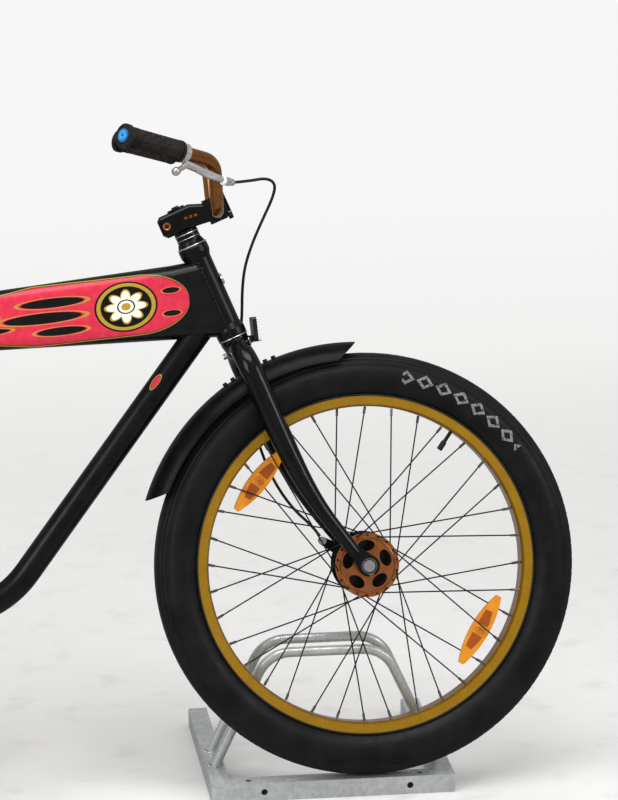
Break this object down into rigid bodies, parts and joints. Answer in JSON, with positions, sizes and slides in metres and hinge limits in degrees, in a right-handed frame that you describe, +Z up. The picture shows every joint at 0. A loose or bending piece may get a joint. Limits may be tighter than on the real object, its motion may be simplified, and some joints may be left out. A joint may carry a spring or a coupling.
{
  "type": "cruiser bicycle in a display rack",
  "caption": "Fat-tyred cruiser bicycle leaning in a bent-tube display rack, with turning wheels, steering, cranks, pedals and a folding side stand.",
  "frame": {"origin": "on the floor, in the middle of the foot of the rack's front wall", "axes": "+X is the bicycle's forwards, +Y is the rider's left, +Z is up"},
  "size_m": [1.8755, 0.6715, 1.1597],
  "materials": {
    "gloss_black": "gloss",
    "satin_black": "satin",
    "tank_art": "gloss artwork over black",
    "copper_paint": "gloss metallic",
    "ochre_rim": "gloss",
    "chrome": "polished",
    "steel": "satin",
    "galvanised": "dull galvanised",
    "rubber_black": "matt",
    "tyre_black": "matt",
    "blue_plastic": "gloss",
    "amber": "moulded lens",
    "white_lens": "moulded lens",
    "black_plastic": "matt",
    "saddle_black": "padded",
    "spoke_black": "black"
  },
  "bodies": {
    "front_end": {"rack_base": "galvanised", "rack_hoops": "galvanised", "fork": "gloss_black", "headset_spacers": "satin_black", "stem": "gloss_black", "stem_faceplate": "satin_black", "handlebar": "copper_paint", "grip_right": "rubber_black", "grip_left": "rubber_black", "grip_plugs": "blue_plastic", "brake_lever": "chrome", "brake_cable": "black_plastic", "drum_brake": "satin_black", "front_axle": "chrome", "front_fender": "gloss_black", "front_reflector": "white_lens"},
    "front_wheel": {"front_tyre": "tyre_black", "front_rim": "ochre_rim", "front_spokes": "spoke_black", "front_hub": "copper_paint", "front_wheel_reflectors": "amber", "front_valve": "black_plastic"},
    "frame": {"head_tube": "satin_black", "tank": "tank_art", "down_tube": "satin_black", "seat_tube": "satin_black", "bottom_bracket": "satin_black", "chainstays": "satin_black", "seatstays": "satin_black", "rear_axle": "chrome", "seat_post": "chrome", "saddle": "saddle_black", "saddle_frame": "steel", "rear_fender": "gloss_black", "chain": "steel", "chain_guard": "gloss_black"},
    "rear_wheel": {"rear_tyre": "tyre_black", "rear_rim": "ochre_rim", "rear_spokes": "spoke_black", "rear_hub": "copper_paint"},
    "crank": {"crankset": "chrome"},
    "right_pedal": {"pedal_right": "black_plastic"},
    "left_pedal": {"pedal_left": "black_plastic"},
    "stand": {"side_stand": "chrome"}
  },
  "joints": [
    {"name": "steering", "type": "hinge", "parent": "front_end", "child": "frame", "pos_m": [-0.17581, 0.201, 0.8283], "axis": [-0.3832, 0.2078, 0.9], "range_deg": [-60, 60]},
    {"name": "front_wheel_spin", "type": "hinge", "parent": "front_end", "child": "front_wheel", "pos_m": [0.065, 0.09742, 0.37966], "axis": [0, 0.9744, -0.225], "continuous": true},
    {"name": "rear_wheel_spin", "type": "hinge", "parent": "frame", "child": "rear_wheel", "pos_m": [-1.09953, 0.08997, 0.34736], "axis": [0, 0.9744, -0.225], "continuous": true},
    {"name": "crank_spin", "type": "hinge", "parent": "frame", "child": "crank", "pos_m": [-0.648, 0.07935, 0.3014], "axis": [0, 0.9744, -0.225], "continuous": true},
    {"name": "right_pedal_spin", "type": "hinge", "parent": "crank", "child": "right_pedal", "pos_m": [-0.64317, -0.03098, 0.15247], "axis": [0, 0.9744, -0.225], "continuous": true},
    {"name": "left_pedal_spin", "type": "hinge", "parent": "crank", "child": "left_pedal", "pos_m": [-0.65284, 0.18968, 0.45033], "axis": [0, 0.9744, -0.225], "continuous": true},
    {"name": "side_stand_fold", "type": "hinge", "parent": "frame", "child": "stand", "pos_m": [-1.00537, 0.15127, 0.29284], "axis": [0.0474, 0.991, 0.1254], "range_deg": [0, 92.9]}
  ]
}
